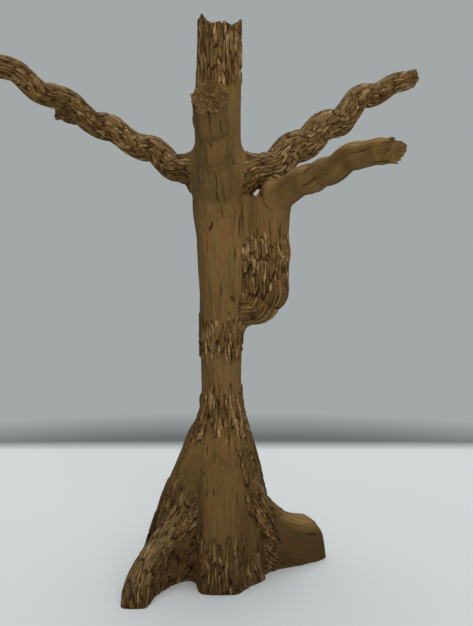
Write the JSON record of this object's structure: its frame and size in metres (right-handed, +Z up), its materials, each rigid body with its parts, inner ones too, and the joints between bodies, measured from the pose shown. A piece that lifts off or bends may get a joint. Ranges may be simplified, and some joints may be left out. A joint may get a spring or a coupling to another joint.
{
  "type": "dead tree",
  "caption": "Standing dead broadleaved tree: thick snapped trunk, bare broken boughs and flaring surface roots, part barked and part weathered bare wood.",
  "frame": {"origin": "centre of the flat cut under the trunk, at ground level", "axes": "+Z up along the trunk; -Y is the front, the side that the stout front bough and the front root point to; +X is the tree's right side seen from the front"},
  "size_m": [10.292, 6.746, 13.0761],
  "materials": {
    "bark": "rough furrowed dead bark, matt",
    "bare_wood": "weathered bare wood with drying cracks, matt"
  },
  "bodies": {
    "root": {"bough_front": "bare_wood", "bough_left": "bark", "bough_left_fork": "bark", "bough_right_high": "bark", "bough_right_low": "bare_wood", "root_back": "bark", "root_back_left": "bark", "root_back_right": "bark", "root_front": "bark", "root_left": "bark", "root_left_front": "bark", "root_right": "bark", "root_right_front": "bark", "stem_right": "bark", "trunk": "bark"}
  },
  "joints": []
}
